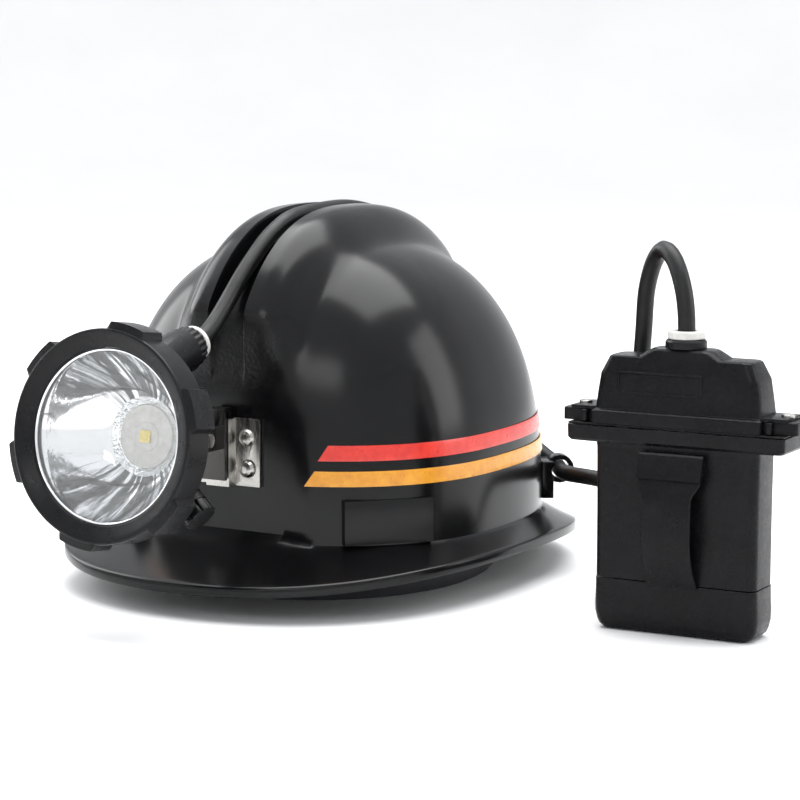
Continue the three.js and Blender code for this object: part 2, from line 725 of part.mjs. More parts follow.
const upright = (g) => g.rotateX(Math.PI / 2).translate(0, bd / 2, 0);
const topGland = turned([[4.6, 0], [9.4, 0], [9.4, 3], [8.6, 4], [4.6, 4]], 20);
place(battery, "battery_gland", beside(upright(topGland).translate(0, 0, LID.hump + GAP)), rubberBlack);
const topRing = turned([[4.6, 0], [8.2, 0], [7.8, 3.6], [4.6, 3.6]], 20);
place(battery, "battery_gland_ring", beside(upright(topRing).translate(0, 0, LID.hump + 4.6)), white);

for (const [name, side] of [["left", 1], ["right", -1]]) {
  const { shank, head } = SCREW;
  const screw = turned([[0, -7], [shank, -7], [shank, 0], [head, 0], [head, 2.2], [0, 2.8]], 14);
  screw.rotateX(Math.PI / 2).translate(side * SCREW.x, bd / 2, LID.top + GAP);
  place(battery, `lid_screw_${name}`, beside(screw), steel);
}

const cell = (i) =>
  rod(CELLS.radius, CELLS.length, 14)
    .rotateX(Math.PI / 2)
    .translate((i - (CELLS.count - 1) / 2) * CELLS.pitch, bd / 2, 4 + CELLS.length / 2);
place(battery, "cell_pack", beside(join(...[0, 1, 2, 3].map(cell))), cellBlue);
place(battery, "circuit_board", beside(block(66, 16, 1.6, 0, bd / 2, 76)), boardGreen);

// The belt clip hangs from its head on the front face and bows away from the case.
function beltClip() {
  const { thick, head, hinge, foot, bow } = CLIP;
  const inner = [
    [-0.4, hinge + 3],
    [-2.6, hinge + 3],
    [-4.2, hinge - 6],
    [-bow, 58],
    [-bow, 40],
    [-2.2, foot + 3],
  ];
  const outer = inner.toReversed().map(([y, z]) => [y - thick, z]);
  const toe = [
    [-0.6, foot],
    [-0.6 - thick, foot],
  ];
  const top = [
    [-4, hinge + 4.6],
    [-0.4, hinge + 4.6],
  ];
  return sideProfile([...inner, ...toe, ...outer.slice(0, -1), ...top], head);
}
place(battery, "belt_clip", beside(beltClip()), caseBlack);

// ---- the cord -----------------------------------------------------------------------
const cords = new THREE.Group();

function cordAlong(points) {
  const path = new THREE.CatmullRomCurve3(points.map((p) => new THREE.Vector3(...p)), false, "centripetal");
  const section = Array.from({ length: CORD.sides }, (_, i) => {
    const a = (2 * Math.PI * (i + 0.5)) / CORD.sides;
    return new THREE.Vector2(CORD.radius * Math.cos(a), CORD.radius * Math.sin(a));
  });
  const steps = Math.max(3, Math.round(path.getLength() / CORD.step));
  return new THREE.ExtrudeGeometry(new THREE.Shape(section), {
    steps,
    extrudePath: path,
    bevelEnabled: false,
  });
}

const fromBattery = ([x, y, z]) => {
  const p = new THREE.Vector3(x, y, z).applyAxisAngle(new THREE.Vector3(0, 0, 1), rad(BATTERY.yaw));
  return [p.x + BATTERY.x, p.y + BATTERY.y, p.z];
};

// from the lamp's gland up to the front of the crown's channel
place(
  cords,
  "cord_front",
  cordAlong([
    [0, -122.2, 123.7],
    [0, -112.5, 126.2],
    [0, -103, 130],
    [0, -94.5, 135.8],
    [0, -85, 143.9],
    [0, -75, 153],
    [0, -64, 161.8],
  ]),
  rubberBlack,
);

// along the channel, down the back, and through the clip at the rear left
place(
  cords,
  "cord_crown",
  cordAlong([
    [0, -63.7, 162],
    [0, -49, 171.8],
    [0, -31, 178.9],
    [0, 0, 181.5],
    [0, 25, 181],
    [0, 50, 176.2],
    [0, 72, 166],
    [1.5, 92, 150],
    [5, 108.5, 126],
    [15, 116.5, 100],
    [32, 118.5, 76],
    [54, 114, 56],
    [71, 104.5, 48.8],
    [81.2, 97.4, 46.1],
    [88.1, 88.1, 45.5],
    [94, 80, 45.5],
    [101, 71.6, 46],
  ]),
  rubberBlack,
);

// from the clip down to the table, where it runs into the coil behind the battery
place(
  cords,
  "cord_link",
  cordAlong([
    [101.4, 71.1, 46],
    [107, 65.6, 46.8],
    [116, 61.4, 47.2],
    [128, 60, 46.4],
    [141, 60, 43.4],
    [154, 60.6, 36],
    [166, 61.5, 25],
    [177, 62, 13.5],
    [187, 61, 6.6],
    [190.5, 60.2, 5.2],
  ]),
  rubberBlack,
);

const coilTop = 2 * CORD.radius * COIL.turns;
place(
  cords,
  "cord_coil",
  turned(
    [
      [COIL.radius - CORD.radius, 1],
      [COIL.radius - CORD.radius + 1.2, 0],
      [COIL.radius + CORD.radius - 1.2, 0],
      [COIL.radius + CORD.radius, 1],
      [COIL.radius + CORD.radius, coilTop - 1],
      [COIL.radius + CORD.radius - 1.2, coilTop],
      [COIL.radius - CORD.radius + 1.2, coilTop],
      [COIL.radius - CORD.radius, coilTop - 1],
    ],
    36,
  )
    .rotateX(Math.PI / 2)
    .translate(...fromBattery([COIL.x, COIL.back, 0])),
  rubberBlack,
);

// from the top of the coil up and over into the battery's gland
const tailStart = coilTop + GAP + CORD.radius;
place(
  cords,
  "cord_tail",
  cordAlong(
    [
      [-0.7, 42.7, tailStart],
      [-13.4, 35.8, tailStart + 2.6],
      [-24.5, 34.2, 39],
      [-31, 35.4, 55],
      [-34.4, 37.6, 78],
      [-34.2, 39, 106],
      [-32, 38, 134],
      [-30, 36.4, 153],
      [-24, 31.5, 167],
      [-17, 25.5, 172.5],
      [-9.5, 19.5, 168.5],
      [-2.6, 14, 156],
      [0, bd / 2, 143],
      [0, bd / 2, 131],
    ].map(fromBattery),
  ),
  rubberBlack,
);

// ---- the whole lamp, centred on the table -------------------------------------------
const assembly = new THREE.Group();
assembly.add(cap, lamp, mount, battery);
const centre = new THREE.Box3().setFromObject(assembly).getCenter(new THREE.Vector3());
assembly.add(cords);
assembly.position.set(-centre.x, -centre.y, 0);

export default assembly;
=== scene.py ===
"""A miner's cap lamp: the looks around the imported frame. Metres, +Z up."""

import math

import bmesh
import bpy
import numpy as np
from mathutils import Matrix, Vector


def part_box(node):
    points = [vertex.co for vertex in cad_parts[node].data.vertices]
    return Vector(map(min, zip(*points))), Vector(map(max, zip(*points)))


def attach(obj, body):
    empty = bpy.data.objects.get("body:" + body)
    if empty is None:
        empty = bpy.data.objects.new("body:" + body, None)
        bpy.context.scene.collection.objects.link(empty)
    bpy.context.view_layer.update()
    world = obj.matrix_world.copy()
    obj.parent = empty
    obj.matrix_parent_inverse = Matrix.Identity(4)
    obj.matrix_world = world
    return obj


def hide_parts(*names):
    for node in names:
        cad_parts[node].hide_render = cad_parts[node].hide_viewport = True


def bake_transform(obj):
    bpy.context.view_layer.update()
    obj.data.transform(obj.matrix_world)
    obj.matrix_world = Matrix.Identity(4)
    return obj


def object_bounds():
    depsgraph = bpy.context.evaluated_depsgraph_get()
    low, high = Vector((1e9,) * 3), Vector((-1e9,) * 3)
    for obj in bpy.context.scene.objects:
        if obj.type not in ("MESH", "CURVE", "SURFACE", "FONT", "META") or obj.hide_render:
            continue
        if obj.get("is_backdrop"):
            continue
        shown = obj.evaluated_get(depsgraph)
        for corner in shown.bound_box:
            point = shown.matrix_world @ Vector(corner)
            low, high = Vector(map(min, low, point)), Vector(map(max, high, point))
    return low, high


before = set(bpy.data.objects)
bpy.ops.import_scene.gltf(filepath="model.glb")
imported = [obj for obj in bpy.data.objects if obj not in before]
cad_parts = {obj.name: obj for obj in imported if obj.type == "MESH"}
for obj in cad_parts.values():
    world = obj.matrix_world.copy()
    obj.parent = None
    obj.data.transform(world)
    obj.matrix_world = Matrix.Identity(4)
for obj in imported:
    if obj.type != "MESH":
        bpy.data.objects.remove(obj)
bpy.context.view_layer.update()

MM = 0.001

# ---- where things are ---------------------------------------------------------------
# The cap's own frame: millimetres from under the crown, -Y forward.
shell_low, shell_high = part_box("helmet_shell")
CAP = Vector(((shell_low[0] + shell_high[0]) / 2, shell_low[1] + 0.137, 0.0))


def cap_point(x, y, z):
    return CAP + Vector((x, y, z)) * MM


def put(name, data):
    """A new object of the data, in the scene."""
    obj = bpy.data.objects.new(name, data)
    bpy.context.scene.collection.objects.link(obj)
    return obj


def aimed(obj, at, target):
    """Stands the camera or a light at one point of the cap's frame, looking at another."""
    obj.location = cap_point(*at)
    obj.rotation_euler = (cap_point(*target) - obj.location).to_track_quat("-Z", "Y").to_euler()


def smooth_faces(mesh):
    mesh.polygons.foreach_set("use_smooth", [True] * len(mesh.polygons))


# The headlamp's frame: from the front of its ring, +Y to the back, pitched up.
LAMP_PITCH = math.radians(7.4)
LAMP_AT = Matrix.Translation(cap_point(0, -189, 91.6)) @ Matrix.Rotation(-LAMP_PITCH, 4, "X")
# The battery's frame: from the middle of its front face's foot.
BATTERY_AT = Matrix.Translation(cap_point(219.6, -55.7, 0)) @ Matrix.Rotation(math.radians(2), 4, "Z")
CAP_AT = Matrix.Translation(CAP)
SHRINK = Matrix.Diagonal((MM, MM, MM, 1))

# ---- camera -------------------------------------------------------------------------
camera = put("camera", bpy.data.cameras.new("camera"))
bpy.context.scene.camera = camera
camera.data.sensor_width = 36
camera.data.lens = 122.8
camera.data.clip_start = 0.01
aimed(camera, (725.7, -1156.3, 277.0), (-4.03, 82.11, 75.0))


# ---- looks --------------------------------------------------------------------------
class Look:
    """A procedural material: a principled surface with helpers for its textures."""

    def __init__(self, name, rough, metallic=0.0):
        self.mat = bpy.data.materials.new(name)
        self.mat.use_nodes = True
        self.tree = self.mat.node_tree
        self.bsdf = self.tree.nodes["Principled BSDF"]
        self.set("Roughness", rough)
        self.set("Metallic", metallic)
        self.coord = self.node("ShaderNodeTexCoord").outputs["Object"]
        self.height = None

    def node(self, kind, **values):
        n = self.tree.nodes.new(kind)
        for key, value in values.items():
            setattr(n, key, value)
        return n

    def set(self, socket, value):
        self.bsdf.inputs[socket].default_value = value

    def link(self, a, b):
        self.tree.links.new(a, b)

    def stretched(self, scale, turn=(0, 0, 0)):
        n = self.node("ShaderNodeMapping")
        n.inputs["Scale"].default_value = scale
        n.inputs["Rotation"].default_value = turn
        self.link(self.coord, n.inputs["Vector"])
        return n.outputs["Vector"]

    def noise(self, scale, detail=5.0, rough=0.55, vector=None, distortion=0.0):
        n = self.node("ShaderNodeTexNoise")
        n.inputs["Scale"].default_value = scale
        n.inputs["Detail"].default_value = detail
        n.inputs["Roughness"].default_value = rough
        n.inputs["Distortion"].default_value = distortion
        self.link(vector or self.coord, n.inputs["Vector"])
        return n.outputs["Fac"]

    def cells(self, scale, feature="F1", vector=None):
        n = self.node("ShaderNodeTexVoronoi", feature=feature)
        n.inputs["Scale"].default_value = scale
        self.link(vector or self.coord, n.inputs["Vector"])
        return n.outputs["Distance"]

    def waves(self, scale, direction="X", vector=None, distortion=0.0):
        n = self.node("ShaderNodeTexWave", bands_direction=direction)
        n.inputs["Scale"].default_value = scale
        n.inputs["Distortion"].default_value = distortion
        self.link(vector or self.coord, n.inputs["Vector"])
        return n.outputs["Fac"]

    def axes(self):
        """The object coordinates' x, y and z."""
        n = self.node("ShaderNodeSeparateXYZ")
        self.link(self.coord, n.inputs["Vector"])
        return [n.outputs[axis] for axis in "XYZ"]

    def ranged(self, source, low, high, to_low, to_high):
        n = self.node("ShaderNodeMapRange")
        for socket, value in zip(("From Min", "From Max", "To Min", "To Max"), (low, high, to_low, to_high)):
            n.inputs[socket].default_value = value
        self.link(source, n.inputs["Value"])
        return n.outputs["Result"]

    def maths(self, operation, a, b):
        n = self.node("ShaderNodeMath", operation=operation)
        self.link(a, n.inputs[0])
        if isinstance(b, (int, float)):
            n.inputs[1].default_value = b
        else:
            self.link(b, n.inputs[1])
        return n.outputs[0]

    def colour(self, source, *stops):
        n = self.node("ShaderNodeValToRGB")
        ramp = n.color_ramp
        while len(ramp.elements) < len(stops):
            ramp.elements.new(0.5)
        for element, (position, rgb) in zip(ramp.elements, stops):
            element.position = position
            element.color = (*rgb, 1)
        self.link(source, n.inputs["Fac"])
        self.link(n.outputs["Color"], self.bsdf.inputs["Base Color"])
        return n.outputs["Color"]

    def roughness(self, source, low, high, to_low, to_high):
        self.link(self.ranged(source, low, high, to_low, to_high), self.bsdf.inputs["Roughness"])

    def bump(self, source, depth, strength=1.0):
        n = self.node("ShaderNodeBump")
        n.inputs["Distance"].default_value = depth
        n.inputs["Strength"].default_value = strength
        self.link(source, n.inputs["Height"])
        if self.height:
            self.link(self.height, n.inputs["Normal"])
        self.height = n.outputs["Normal"]
        self.link(self.height, self.bsdf.inputs["Normal"])


def moulded(name, dark, light, rough, grain, depth, shine=0.5):
    """Black moulding: faint cloudy tone, a moulded grain, and rubbed patches."""
    look = Look(name, rough)
    cloud = look.noise(38, 6, 0.62)
    look.colour(cloud, (0.32, dark), (0.72, light))
    rub = look.noise(150, 5, 0.7)
    look.roughness(rub, 0.3, 0.75, rough - 0.07, rough + 0.10)
    look.bump(look.cells(grain), depth)
    look.bump(look.noise(grain * 0.45, 3), depth * 0.8)
    look.set("Specular IOR Level", shine)
    return look.mat


def glossy_shell(name):
    """The cap's shell: soft mould waves and hair scratches, and a stippled slope in front."""
    look = Look(name, 0.2)
    cloud = look.noise(22, 7, 0.65)
    look.colour(cloud, (0.3, (0.0022, 0.0022, 0.0025)), (0.75, (0.005, 0.005, 0.0056)))
    scratches = look.noise(260, 8, 0.72, look.stretched((1, 6, 2.4), (0.3, 0.5, 0.8)))
    across, along, up = look.axes()
    # the stipple lies on the front slope, between the ridge and the lamp's pad, and fades at its edges
    middle = look.maths("ABSOLUTE", look.maths("SUBTRACT", across, CAP.x), 0)
    slope = look.ranged(middle, 0.018, 0.028, 1, 0)
    for source, low, high, start, end in (
        (along, CAP.y - 0.074, CAP.y - 0.064, 1, 0),
        (up, 0.100, 0.110, 0, 1),
        (up, 0.130, 0.140, 1, 0),
    ):
        slope = look.maths("MULTIPLY", slope, look.ranged(source, low, high, start, end))
    sheen = look.ranged(scratches, 0.3, 0.75, 0.16, 0.25)
    look.link(look.maths("ADD", sheen, look.maths("MULTIPLY", slope, 0.25)), look.bsdf.inputs["Roughness"])
    look.bump(look.noise(16, 2, 0.4), 0.0006, 0.35)
    look.bump(scratches, 0.00002, 0.3)
    look.bump(look.maths("MULTIPLY", slope, look.cells(560)), 0.0003)
    look.set("Specular IOR Level", 0.26)
    return look.mat


def tape(name, colour, pale):
    """Reflective tape: bright film over a fine bead pattern, a little scuffed."""
    look = Look(name, 0.33)
    look.colour(look.noise(120, 6, 0.7), (0.36, colour), (0.78, pale))
    look.roughness(look.noise(420), 0.3, 0.7, 0.25, 0.42)
    look.bump(look.cells(1500), 0.00006)
    look.bump(look.noise(70, 3), 0.0002, 0.4)
    look.set("Coat Weight", 0.35)
    look.set("Coat Roughness", 0.15)
    return look.mat


def brushed(name, tone, rough, turn=(0, 0, 0)):
    """Bright pressed metal with brush lines and small dents."""
    look = Look(name, rough, 1.0)
    lines = look.noise(500, 6, 0.65, look.stretched((1, 1, 0.05), turn))
    look.colour(lines, (0.3, tuple(c * 0.78 for c in tone)), (0.7, tone))
    look.roughness(lines, 0.3, 0.7, rough - 0.06, rough + 0.12)
    look.bump(lines, 0.00005, 0.6)
    look.bump(look.noise(130, 3), 0.00035, 0.35)
    return look.mat


def bowl(name):
    """The metallised bowl: near-mirror, with painted reflection bands running out from its middle."""
    look = Look(name, 0.04, 1.0)
    centre = LAMP_AT.translation
    across, along, up = (look.maths("SUBTRACT", axis, middle) for axis, middle in zip(look.axes(), centre))
    level = look.maths("ADD", up, look.maths("MULTIPLY", along, math.tan(LAMP_PITCH)))
    angle = look.maths("ARCTAN2", level, across)
    polar = look.node("ShaderNodeCombineXYZ")
    look.link(look.maths("MULTIPLY", angle, 5.0), polar.inputs["X"])
    look.link(look.maths("MULTIPLY", along, 22.0), polar.inputs["Y"])
    painted_reflection_streaks = look.noise(1.25, 7, 0.62, polar.outputs["Vector"], 0.25)
    # painted reflection: the bands are painted dark above and below, and the sides are painted bright
    side = look.maths("ABSOLUTE", look.maths("SINE", angle, 0), 0)
    painted_reflection_bias = look.ranged(side, 0.35, 0.95, -0.17, 0.05)
    # painted reflection: the ramp paints the mirror's base colour from bright to near black, standing in for
    # the studio it reflects
    look.colour(
        look.maths("ADD", painted_reflection_streaks, painted_reflection_bias),
        (0.44, (0.90, 0.91, 0.92)),
        (0.50, (0.45, 0.46, 0.47)),
        (0.54, (0.03, 0.03, 0.032)),
        (0.66, (0.012, 0.012, 0.013)),
        (0.70, (0.80, 0.81, 0.82)),
    )
    haze = look.noise(95, 5, 0.6)
    look.roughness(haze, 0.3, 0.8, 0.03, 0.08)
    look.bump(look.noise(210, 3), 0.0001, 0.3)
    return look.mat


def dimpled(name):
    """The hammered ring round the light source."""
    look = Look(name, 0.12, 1.0)
    look.colour(look.noise(300), (0.3, (0.66, 0.68, 0.69)), (0.7, (0.9, 0.91, 0.92)))
    look.roughness(look.noise(500), 0.3, 0.7, 0.08, 0.2)
    look.bump(look.cells(900), 0.0005)
    return look.mat


def rubber(name, rough=0.5):
    """Cord jacket and seals: dull, with pores and handling shine."""
    look = Look(name, rough)
    look.colour(look.noise(160, 6, 0.65), (0.3, (0.003, 0.003, 0.0032)), (0.75, (0.008, 0.008, 0.0086)))
    look.roughness(look.noise(75, 4), 0.3, 0.75, rough - 0.12, rough + 0.12)
    look.bump(look.noise(1700, 4, 0.7), 0.00008)
    look.bump(look.cells(520), 0.00004)
    look.set("Specular IOR Level", 0.3)
    return look.mat


def plain(name, low, high, rough, scale=220, depth=0.00008, metallic=0.0):
    """A small piece: two tones, an uneven sheen and a light grain."""
    look = Look(name, rough, metallic)
    look.colour(look.noise(scale, 5, 0.6), (0.3, low), (0.72, high))
    look.roughness(look.noise(scale * 2.2, 4), 0.3, 0.7, max(0.05, rough - 0.08), rough + 0.1)
    look.bump(look.noise(scale * 5, 4), depth)
    return look.mat


def woven(name):
    """Webbing: crossed ribs over a fibrous tone."""
    look = Look(name, 0.85)
    warp = look.waves(420, "DIAGONAL")
    weft = look.waves(420, "DIAGONAL", look.stretched((1, -1, 1)))
    weave = look.maths("MULTIPLY", warp, weft)
    look.colour(weave, (0.1, (0.008, 0.008, 0.009)), (0.8, (0.035, 0.036, 0.04)))
    look.bump(weave, 0.0004)
    look.bump(look.noise(2400, 4), 0.0001)
    return look.mat


def window(name):
    """The clear front window with faint wipe marks."""
    look = Look(name, 0.03)
    wipes = look.noise(90, 6, 0.7, look.stretched((1, 1, 5), (0, 0.6, 0)))
    look.colour(wipes, (0.3, (0.93, 0.96, 0.97)), (0.7, (0.99, 1, 1)))
    look.roughness(wipes, 0.3, 0.8, 0.02, 0.06)
    look.link(look.ranged(wipes, 0.3, 0.8, 0.07, 0.13), look.bsdf.inputs["Alpha"])
    look.set("Specular IOR Level", 0.6)
    return look.mat


LAMP_DARK = (0.0025, 0.0025, 0.0030)
LAMP_LIGHT = (0.0060, 0.0060, 0.0068)
CASE_DARK = (0.0035, 0.0034, 0.0040)
CASE_LIGHT = (0.0075, 0.0072, 0.0082)
looks = {
    "shell_gloss": glossy_shell("shell gloss"),
    "red_stripe": tape("red tape", (0.55, 0.012, 0.006), (0.78, 0.045, 0.022)),
    "yellow_stripe": tape("amber tape", (0.62, 0.23, 0.006), (0.84, 0.40, 0.02)),
    "band_plastic": moulded("band moulding", (0.018, 0.019, 0.022), (0.035, 0.036, 0.04), 0.5, 900, 0.0001),
    "webbing": woven("webbing"),
    "foam": plain("foam", (0.010, 0.010, 0.011), (0.026, 0.026, 0.028), 0.85, 420, 0.0006),
    "steel": brushed("pressed steel", (0.50, 0.485, 0.46), 0.24),
    "dark_steel": brushed("blued steel", (0.07, 0.068, 0.066), 0.3),
    "lamp_plastic": moulded("lamp moulding", LAMP_DARK, LAMP_LIGHT, 0.3, 1500, 0.00005, 0.2),
    "lens_glass": window("window"),
    "rubber": rubber("seal rubber", 0.55),
    "mirror_coat": bowl("bright bowl"),
    "dimples": dimpled("dimpled ring"),
    "bright_rim": plain("bright rim", (0.78, 0.79, 0.80), (0.93, 0.94, 0.95), 0.12, 150, 0.00004, 1.0),
    "white_plastic": plain("white moulding", (0.50, 0.49, 0.46), (0.68, 0.67, 0.64), 0.42, 260),
    "led_phosphor": plain("phosphor", (0.72, 0.55, 0.06), (0.90, 0.76, 0.22), 0.4, 900),
    "aluminium": plain("cast aluminium", (0.42, 0.43, 0.45), (0.6, 0.61, 0.62), 0.42, 300, 0.0001, 1.0),
    "case_plastic": moulded("case moulding", CASE_DARK, CASE_LIGHT, 0.27, 1900, 0.00005, 0.13),
    "cell_wrap": plain("cell wrap", (0.02, 0.07, 0.22), (0.04, 0.12, 0.32), 0.35, 180),
    "board": plain("circuit board", (0.015, 0.09, 0.035), (0.03, 0.15, 0.06), 0.4, 700),
    "cord_rubber": rubber("cord jacket", 0.42),
}


# ---- mesh tools ---------------------------------------------------------------------
def add(name, verts, faces, look, body="cap_and_battery", slot=None, at=None, sharp=34, stands_for=()):
    mesh = bpy.data.meshes.new(name)
    mesh.from_pydata([tuple(v) for v in verts], [], [tuple(f) for f in faces])
    if at is not None:
        mesh.transform(at @ SHRINK)
    mesh.validate()
    finish_piece(name, mesh, sharp, look, body, stands_for)


def finish_piece(name, mesh, sharp, look, body, stands_for):
    smooth_faces(mesh)
    mesh.set_sharp_from_angle(angle=math.radians(sharp))
    mesh.materials.append(looks[look])
    obj = put(name, mesh)
    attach(obj, body)
    if stands_for:
        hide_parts(*stands_for)


def rounded(profile, radius, steps=4, closed=False):
    """The same outline with each corner turned into a small arc."""
    points = [np.array(p, float) for p in profile]
    out = []
    n = len(points)
    for i, p in enumerate(points):
        if not closed and i in (0, n - 1):
            out.append(p)
            continue
        a, b = points[i - 1] - p, points[(i + 1) % n] - p
        la, lb = np.linalg.norm(a), np.linalg.norm(b)
        if min(la, lb) < 1e-6:
            continue
        a, b = a / la, b / lb
        half = math.acos(np.clip(a @ b, -1, 1)) / 2
        if half > math.radians(84):
            out.append(p)
            continue
        cut = min(radius / math.tan(half), la * 0.46, lb * 0.46)
        for k in range(steps + 1):
            t = k / steps
            out.append((1 - t) ** 2 * (p + a * cut) + 2 * t * (1 - t) * p + t**2 * (p + b * cut))
    return out


def lathe(profile, segments=96, radius=0.35, wave=None):
    """Profile of (radius, back) turned about Y. wave(radius, back, angle) gives the radius there."""
    on_axis = profile[0][0] == 0 and profile[-1][0] == 0
    line = rounded(profile, radius, closed=not on_axis)
    verts, faces = [], []
    n = len(line)
    for k in range(segments):
        a = 2 * math.pi * k / segments
        for r, y in line:
            if wave:
                r = wave(r, y, a)
            verts.append((r * math.sin(a), y, r * math.cos(a)))
    for k in range(segments):
        q = (k + 1) % segments
        for i in range(n if not on_axis else n - 1):
            j = (i + 1) % n
            faces.append((k * n + i, k * n + j, q * n + j, q * n + i))
    return fixed(verts, faces)


def turned(name, profile, look, at, segments=96, radius=0.35, wave=None, node=None, **options):
    """A turned piece, standing for a CAD node if one is named."""
    mesh = lathe(profile, segments, radius, wave)
    add(name, *mesh, look, at=at, stands_for=(node,) if node else (), **options)


def fixed(verts, faces):
    """Welds the mesh and turns its faces outwards."""
    bm = bmesh.new()
    made = [bm.verts.new(v) for v in verts]
    for f in faces:
        try:
            bm.faces.new([made[i] for i in dict.fromkeys(f)])
        except ValueError:
            pass
    bmesh.ops.remove_doubles(bm, verts=bm.verts, dist=1e-4)
    bmesh.ops.dissolve_degenerate(bm, edges=bm.edges, dist=1e-5)
    bmesh.ops.recalc_face_normals(bm, faces=bm.faces)
    bm.verts.index_update()
    v = [tuple(p.co) for p in bm.verts]
    f = [[p.index for p in face.verts] for face in bm.faces]
    bm.free()
    return v, f


def loft(rings, closed_ends=True):
    n = len(rings[0])
    verts = [tuple(p) for ring in rings for p in ring]
    faces = []
    for r in range(len(rings) - 1):
        for i in range(n):
            j = (i + 1) % n
            faces.append((r * n + i, r * n + j, (r + 1) * n + j, (r + 1) * n + i))
    if closed_ends:
        faces.append(tuple(reversed(range(n))))
        last = (len(rings) - 1) * n
        faces.append(tuple(last + i for i in range(n)))
    return fixed(verts, faces)


def round_rect(width, depth, corner, y, z, segments=7):
    ring = []
    for quarter, (sx, sy) in enumerate(((1, -1), (1, 1), (-1, 1), (-1, -1))):
        for i in range(segments + 1):
            a = math.pi / 2 * (quarter - 1 + i / segments)
            ring.append(
                (
                    sx * (width / 2 - corner) + corner * math.cos(a),
                    y + sy * (depth / 2 - corner) + corner * math.sin(a),
                    z,
                )
            )
    return ring


def block(size, centre, edge=0.5):
    """A box with small rounded edges, as vertices and faces."""
    bm = bmesh.new()
    bmesh.ops.create_cube(bm, size=1)
    bmesh.ops.scale(bm, vec=size, verts=bm.verts)
    bmesh.ops.translate(bm, vec=centre, verts=bm.verts)
    bmesh.ops.bevel(bm, geom=bm.edges, offset=edge, segments=3, profile=0.5, affect="EDGES")
    bm.verts.index_update()
    out = ([tuple(v.co) for v in bm.verts], [[v.index for v in f.verts] for f in bm.faces])
    bm.free()
    return out


def merged(*parts):
    verts, faces = [], []
    for v, f in parts:
        base = len(verts)
        verts += list(v)
        faces += [[i + base for i in face] for face in f]
    return verts, faces


def from_cad(node, look, body="cap_and_battery", edge=0.35, segments=3):
    """A CAD node shown with softened edges."""
    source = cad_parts[node]
    mesh = source.data.copy()
    mesh.materials.clear()
    mesh.transform(source.matrix_world)
    bm = bmesh.new()
    bm.from_mesh(mesh)
    bmesh.ops.remove_doubles(bm, verts=bm.verts, dist=1e-6)
    bmesh.ops.dissolve_limit(bm, angle_limit=math.radians(1.5), verts=bm.verts, edges=bm.edges)
    edges = [e for e in bm.edges if len(e.link_faces) == 2 and e.calc_face_angle() > math.radians(32)]
    bmesh.ops.bevel(
        bm, geom=edges, offset=edge * MM, segments=segments, profile=0.5, affect="EDGES", clamp_overlap=True
    )
    bm.to_mesh(mesh)
    bm.free()
    finish_piece("look_" + node, mesh, 30, look, body, (node,))


# ---- the cord -----------------------------------------------------------------------
CORD_R = 4.0
CORD_STEP = 4.0


def battery_point(x, y, z):
    return tuple((CAP_AT.inverted() @ BATTERY_AT @ Vector((x * MM, y * MM, z * MM))) / MM)


def between(u, start, end, first, last):
    """The value at u on the straight run from first (at start) to last (at end)."""
    return (end - u) / (end - start) * first + (u - start) / (end - start) * last


def smooth_path(points, step):
    """Points at even steps along a centripetal curve through the given ones."""
    p = [np.array(q, float) for q in points]
    p = [2 * p[0] - p[1], *p, 2 * p[-1] - p[-2]]
    dense = []
    for i in range(1, len(p) - 2):
        t = [0.0]
        for k in range(3):
            t.append(t[-1] + max(1e-6, np.linalg.norm(p[i + k] - p[i + k - 1])) ** 0.5)
        for u in np.linspace(t[1], t[2], 24, endpoint=False):
            a = [between(u, t[k], t[k + 1], p[i - 1 + k], p[i + k]) for k in range(3)]
            b = [between(u, t[k], t[k + 2], a[k], a[k + 1]) for k in range(2)]
            dense.append(between(u, t[1], t[2], b[0], b[1]))
    dense.append(p[-2])
    dense = np.array(dense)
    run = np.concatenate([[0], np.cumsum(np.linalg.norm(np.diff(dense, axis=0), axis=1))])
    count = max(2, round(run[-1] / step))
    even = np.linspace(0, run[-1], count + 1)
    return np.stack([np.interp(even, run, dense[:, k]) for k in range(3)], -1)


front_points = [
    (0, -122.2, 123.7),
    (0, -112.5, 126.2),
    (0, -103, 130),
    (0, -94.5, 135.8),
    (0, -85, 143.9),
    (0, -75, 153),
    (0, -64, 161.8),
    (0, -49, 171.8),
    (0, -31, 178.9),
    (0, 0, 181.5),
    (0, 25, 181),
    (0, 50, 176.2),
    (0, 72, 166),
    (1.5, 92, 150),
    (5, 108.5, 126),
    (15, 116.5, 100),
    (32, 118.5, 76),
    (54, 114, 56),
    (71, 104.5, 48.8),
    (81.2, 97.4, 46.1),
    (88.1, 88.1, 45.5),
    (94, 80, 45.5),
    (101.2, 71.3, 46),
    (107, 65.6, 46.8),
    (116, 61.4, 47.2),
    (128, 60, 46.4),
    (141, 60, 43.4),
    (154, 60.6, 36),
    (166, 61.5, 25),
    (177, 62, 13.5),
    (187, 61, 6.6),
    (198, 56.8, 4.3),
    (208.5, 50, 4.2),
]
# the coil lies behind the battery: each turn lies on the last and climbs over it in a fifth of a turn
COIL_R, COIL_SWAY = 37.0, 0.7
COIL_FROM, COIL_TO, COIL_STEPS = 50, -768, 68
COIL_BED, COIL_LEVEL = 4.2, 8.2
COIL_CLIMBS, COIL_CLIMB_LENGTH = (0.72, 1.72), 0.2
coil_x, coil_y, _ = battery_point(-24.5, 71, 0)
coil_points = []
for k in range(COIL_STEPS + 1):
    angle = COIL_FROM + (COIL_TO - COIL_FROM) * k / COIL_STEPS
    turn = (COIL_FROM - angle) / 360
    level = sum(min(1, max(0, (turn - climb) / COIL_CLIMB_LENGTH)) for climb in COIL_CLIMBS)
    a = math.radians(angle)
    r = COIL_R + COIL_SWAY * math.sin(2.3 * a)
    coil_points.append((coil_x + r * math.cos(a), coil_y + r * math.sin(a), COIL_BED + COIL_LEVEL * level))
